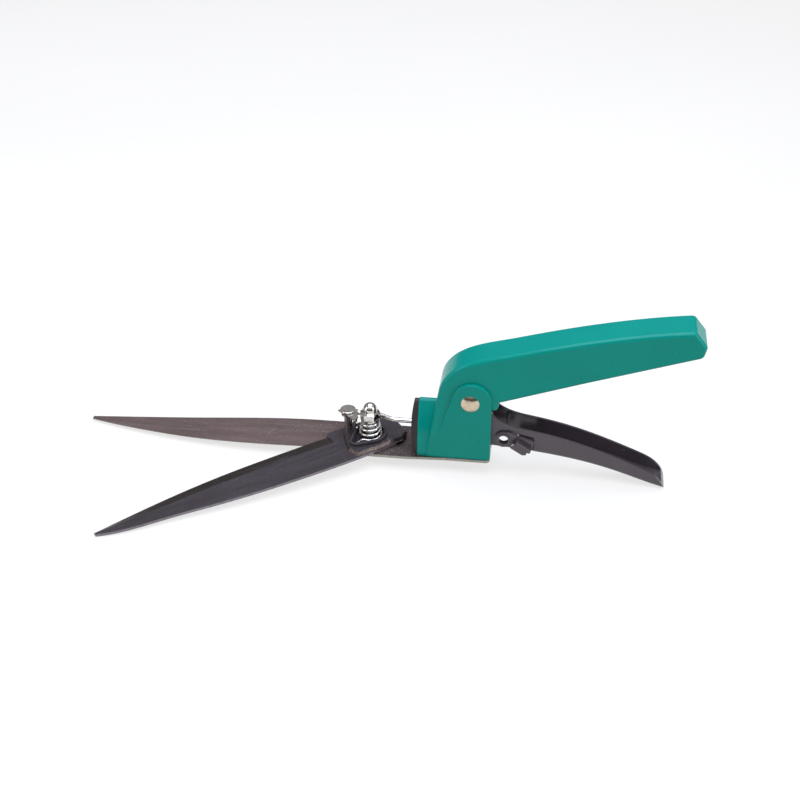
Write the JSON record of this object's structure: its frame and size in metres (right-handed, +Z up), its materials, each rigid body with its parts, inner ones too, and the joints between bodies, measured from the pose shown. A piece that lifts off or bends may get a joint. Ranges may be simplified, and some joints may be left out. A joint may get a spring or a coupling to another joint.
{
  "type": "grass shears",
  "caption": "Single-handed grass shears: long fixed and swinging blades, arched grip over a squeeze lever with lock latch, return spring on the blade bolt.",
  "frame": {"origin": "on the blade bolt's axis, at the underside of the base plate", "axes": "+X back from the blades to the handle, +Z up out of the base plate along the bolt, the open blade lies towards -Y"},
  "size_m": [0.345, 0.1239, 0.1026],
  "materials": {
    "green_plastic": "smooth moulded plastic",
    "black_plastic": "moulded, slightly worn",
    "plate_steel": "dull rolled steel with fine specks",
    "dark_steel": "dark coated steel with fine scratches",
    "black_enamel": "gloss enamel",
    "chrome": "bright plated",
    "spring_steel": "bright plated wire",
    "nickel": "warm nickel plating",
    "zinc_steel": "zinc plated"
  },
  "bodies": {
    "handle": {"handle_body": "green_plastic", "nose_cap": "black_plastic", "fixed_blade": "plate_steel", "handle_screws": "zinc_steel", "pivot_stud": "zinc_steel", "nut_washer": "chrome", "acorn_nut": "chrome", "pivot_rivet": "nickel"},
    "lever": {"squeeze_lever": "black_enamel", "lever_bush": "zinc_steel", "lever_washers": "zinc_steel", "crank_pin": "zinc_steel", "cross_pin": "zinc_steel", "latch_eyelet": "black_enamel"},
    "latch": {"lock_latch": "black_enamel"},
    "blade": {"moving_blade": "dark_steel", "spring_cup": "black_plastic", "blade_spring": "spring_steel", "link_pin": "chrome", "link_bracket": "chrome"},
    "rod": {"link_rod": "chrome"}
  },
  "joints": [
    {"name": "lever_hinge", "type": "hinge", "parent": "handle", "child": "lever", "pos_m": [0.0575, 0, 0.0384], "axis": [0, -1, 0], "range_deg": [0, 13.3], "stiffness_Nm_per_rad": 0.6, "springref_deg": -20.05},
    {"name": "latch_hinge", "type": "hinge", "parent": "lever", "child": "latch", "pos_m": [0.0761, -0.0088, 0.0139], "axis": [0, -1, 0], "range_deg": [0, 25]},
    {"name": "blade_hinge", "type": "hinge", "parent": "handle", "child": "blade", "pos_m": [0, 0, 0.0026], "axis": [0, 0, 1], "range_deg": [-39, 0]},
    {"name": "rod_hinge", "type": "hinge", "parent": "blade", "child": "rod", "pos_m": [-0.0136, 0.005, 0.0149], "axis": [0, 0, 1], "range_deg": [0, 33]}
  ],
  "couplings": [
    {"joint": "blade_hinge", "follows": "lever_hinge", "ratio": -2.93},
    {"joint": "rod_hinge", "follows": "lever_hinge", "ratio": 2.461}
  ]
}
